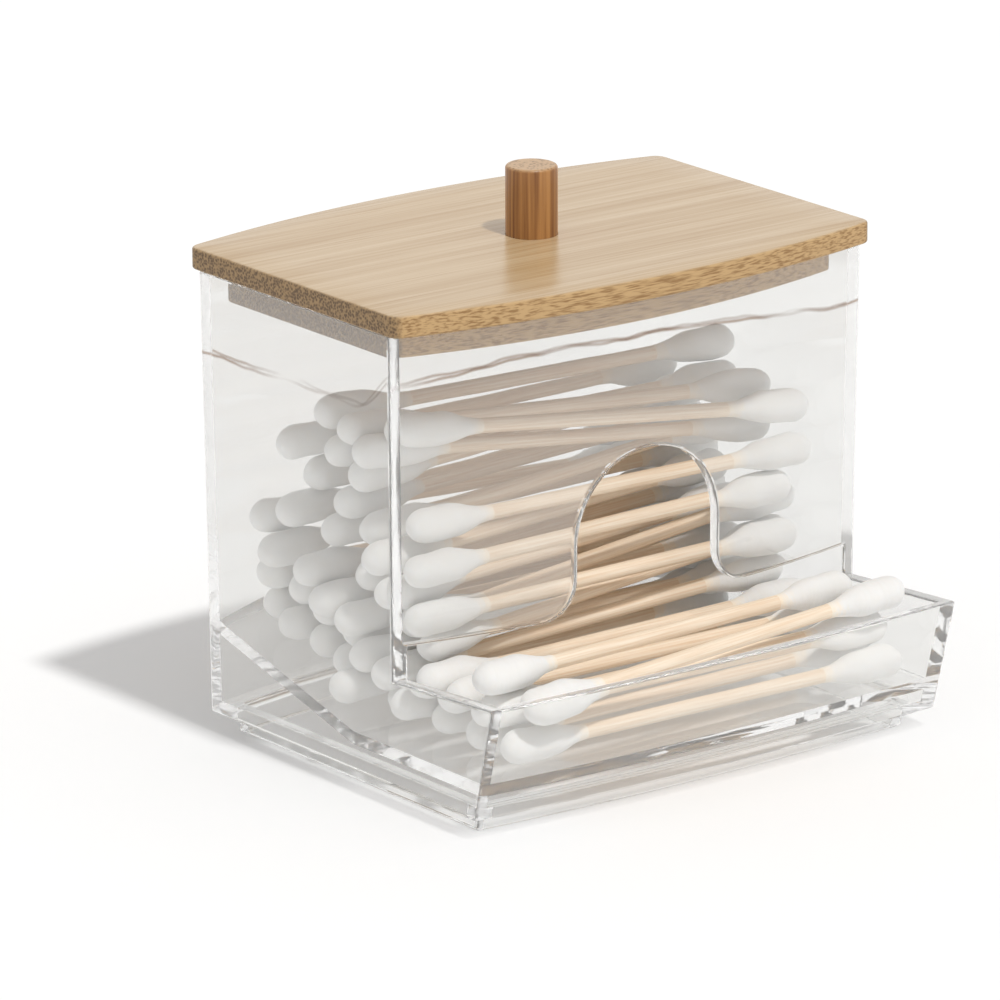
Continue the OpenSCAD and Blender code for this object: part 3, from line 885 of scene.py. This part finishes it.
def aim_camera(scene, stage):
    """A camera turned about the point that it looks at, and drawn back from it along its own axis."""
    view = bpy.data.cameras.new("view")
    view.sensor_width = stage.film
    view.lens = stage.lens
    view.clip_end = 100.0
    camera = bpy.data.objects.new("view", view)
    camera.matrix_world = (
        Matrix.Translation(stage.view_point)
        @ Matrix.Rotation(-stage.view_turn, 4, "Z")
        @ Matrix.Rotation(QUARTER - stage.view_height, 4, "X")
        @ Matrix.Rotation(stage.view_roll, 4, "Z")
        @ Matrix.Translation((0, 0, stage.view_reach))
    )
    scene.collection.objects.link(camera)
    scene.camera = camera


class HOLDER_OT_box(bpy.types.Operator):
    """Moulds the clear box: walls, chute, tray, notch and foot ring in one piece"""

    bl_idname = "swab_holder.box"
    bl_label = "Clear Box"

    def execute(self, context):
        b = box_form(context.scene.holder_box)
        step = b.foot_h + b.foot_wall
        foot_in = b.foot_inset + b.foot_wall
        mesh = carved(sweep_mesh("clear_box", box_outside(b)), [
            ("UNION", sweep_mesh("foot", box_ring(b, b.foot_inset, 0.0, b.foot_h + OVERCUT))),
            ("DIFFERENCE", sweep_mesh("swab_space", box_swab_space(b))),
            ("DIFFERENCE", sweep_mesh("notch", box_notch(b))),
            ("DIFFERENCE", sweep_mesh("underside", box_underside(b))),
            ("DIFFERENCE", sweep_mesh("mouth", box_ring(b, foot_in, -OVERCUT, step + OVERCUT))),
        ])
        mesh = rounded(mesh, b.edge_r, least_angle=math.radians(28))
        middle = b.lip_y + BOX_LOW.y / MM
        mesh.transform(Matrix.Scale(MM, 4) @ Matrix.Translation((0, middle, 0)))
        smooth_by_angle(mesh, degrees=12)
        mesh.name = "clear_box"
        mesh.materials.clear()
        mesh.materials.append(clear_polystyrene(LID_LOW.z))
        place("clear_box", mesh, "holder", "clear_plastic", "box")
        return {"FINISHED"}


class HOLDER_OT_lid(bpy.types.Operator):
    """Mills the bamboo lid: board, sanded edges, step and blind hole"""

    bl_idname = "swab_holder.lid"
    bl_label = "Bamboo Lid"

    def execute(self, context):
        s = in_mm(context.scene.holder_lid)
        low, top = LID_LOW.z / MM, LID_HIGH.z / MM
        middle = (LID_HIGH.y + LID_LOW.y) / 2 / MM
        width = (LID_HIGH.x - LID_LOW.x) / MM
        depth = (LID_HIGH.y - LID_LOW.y) / MM - 2 * s.bow
        step = (width - 2 * s.step_side, depth - 2 * s.step_face)
        rings, edge = [], []
        for (across, deep), radius, inset, z, share in lid_sections(s, step, (width, depth), low, top):
            plan, facing = lid_outline(across, deep, s.bow, radius, inset)
            rings.append((plan, z))
            edge.append(share)
        hole_r = (KNOB_HIGH.x - KNOB_LOW.x) / 2 / MM + s.glue_gap
        bearing = np.arctan2(plan[:, 1], plan[:, 0])
        circle = hole_r * np.stack([np.cos(bearing), np.sin(bearing)], axis=-1)
        for share in np.linspace(0, 1, TOP_RINGS + 1)[1:]:
            rings.append((plan + (circle - plan) * share, top))
            edge.append(0.0)
        rings.append((circle, top - s.hole_depth))
        edge.append(1.0)
        points = [np.column_stack([p[:, 0], p[:, 1] + middle, p[:, 0] * 0 + z]) for p, z in rings]
        mesh = rings_mesh("bamboo_lid", np.array(points) * MM)
        point_attribute(mesh, "edge_share", np.array(edge)[:, None] + 0 * facing)
        ends = np.clip((facing - 0.35) / 0.45, 0, 1)
        point_attribute(mesh, "end_share", ends + 0 * np.array(edge)[:, None])
        smooth_by_angle(mesh, degrees=30)
        mesh.materials.append(bamboo_board(context.scene.holder_colours))
        place("bamboo_lid", mesh, "lid", "bamboo_board", "lid")
        return {"FINISHED"}


class HOLDER_OT_knob(bpy.types.Operator):
    """Turns the dowel knob"""

    bl_idname = "swab_holder.knob"
    bl_label = "Dowel Knob"

    def execute(self, context):
        s = in_mm(context.scene.holder_lid)
        r = (KNOB_HIGH.x - KNOB_LOW.x) / 2 / MM
        low, top = KNOB_LOW.z / MM, KNOB_HIGH.z / MM
        middle = (KNOB_HIGH.y + KNOB_LOW.y) / 2 / MM
        over = np.linspace(0, QUARTER, KNOB_EDGE_POINTS)
        inner = r * np.array([0.8, 0.5, 0.2])
        flat = np.ones(len(inner))
        radius = np.concatenate([[r, r], r - s.knob_edge * (1 - np.cos(over)), inner])
        height = np.concatenate([[low, top - KNOB_BAND], top - s.knob_edge * (1 - np.sin(over)), top * flat])
        ends = np.concatenate([[0, 0], np.sin(over) ** 2, flat])
        turn = np.linspace(0, 2 * math.pi, KNOB_SIDES, endpoint=False)
        points = np.empty((len(radius), len(turn), 3))
        points[:, :, 0] = radius[:, None] * np.cos(turn)
        points[:, :, 1] = radius[:, None] * np.sin(turn) + middle
        points[:, :, 2] = height[:, None]
        mesh = rings_mesh("dowel_knob", points * MM)
        point_attribute(mesh, "end_share", ends[:, None] + 0 * turn)
        smooth_by_angle(mesh, degrees=40)
        mesh.materials.append(bamboo_dowel(context.scene.holder_colours))
        place("dowel_knob", mesh, "lid", "bamboo_dowel", "knob")
        return {"FINISHED"}


class HOLDER_OT_swabs(bpy.types.Operator):
    """Lays a wound swab in the place of each swab of the heap"""

    bl_idname = "swab_holder.swabs"
    bl_label = "Cotton Swabs"

    def execute(self, context):
        s = in_mm(context.scene.holder_swab)
        cotton = wound_cotton(context.scene.holder_colours)
        stick = birch_stick(context.scene.holder_colours)
        for seed, node in enumerate(SWAB_NODES):
            name = node.replace("swab", "wound_swab")
            mesh = swab_mesh(name, s, node, seed)
            mesh.materials.append(cotton)
            mesh.materials.append(stick)
            place(name, mesh, "holder", "cotton_swab", node)
        return {"FINISHED"}


class HOLDER_OT_stage(bpy.types.Operator):
    """Sets the white floor, the key light, the soft light and the camera"""

    bl_idname = "swab_holder.stage"
    bl_label = "Stage"

    def execute(self, context):
        scene = context.scene
        scene.view_settings.view_transform = "Standard"
        for kind in ("max_bounces", "glossy_bounces", "transmission_bounces", "transparent_max_bounces"):
            setattr(scene.cycles, kind, LIGHT_BOUNCES)
        for work in (lay_floor, hang_key_light, light_softly, aim_camera):
            work(scene, scene.holder_stage)
        return {"FINISHED"}


STEPS = (HOLDER_OT_box, HOLDER_OT_lid, HOLDER_OT_knob, HOLDER_OT_swabs, HOLDER_OT_stage)
GROUPS = {
    "holder_box": HolderBoxSizes,
    "holder_lid": HolderLidSizes,
    "holder_swab": HolderSwabSizes,
    "holder_colours": HolderColours,
    "holder_stage": HolderStage,
}


class HOLDER_PT_panel(bpy.types.Panel):
    """Lists the holder's pieces and their sizes"""

    bl_idname = "HOLDER_PT_panel"
    bl_label = "Swab Holder"
    bl_space_type = "VIEW_3D"
    bl_region_type = "UI"
    bl_category = "Swab Holder"

    def draw(self, context):
        for step in STEPS:
            self.layout.operator(step.bl_idname)
        for name in GROUPS:
            group = getattr(context.scene, name)
            for prop in group.bl_rna.properties.keys():
                if prop not in ("rna_type", "name"):
                    self.layout.prop(group, prop)


def register():
    for name, group in GROUPS.items():
        bpy.utils.register_class(group)
        setattr(bpy.types.Scene, name, bpy.props.PointerProperty(type=group))
    for kind in STEPS + (HOLDER_PT_panel,):
        bpy.utils.register_class(kind)


def unregister():
    for kind in STEPS + (HOLDER_PT_panel,):
        bpy.utils.unregister_class(kind)
    for name, group in GROUPS.items():
        delattr(bpy.types.Scene, name)
        bpy.utils.unregister_class(group)


def main():
    """Makes every piece and the stage."""
    register()
    for step in STEPS:
        family, action = step.bl_idname.split(".")
        getattr(getattr(bpy.ops, family), action)()
    bpy.context.view_layer.update()


if __name__ == "__main__":
    main()
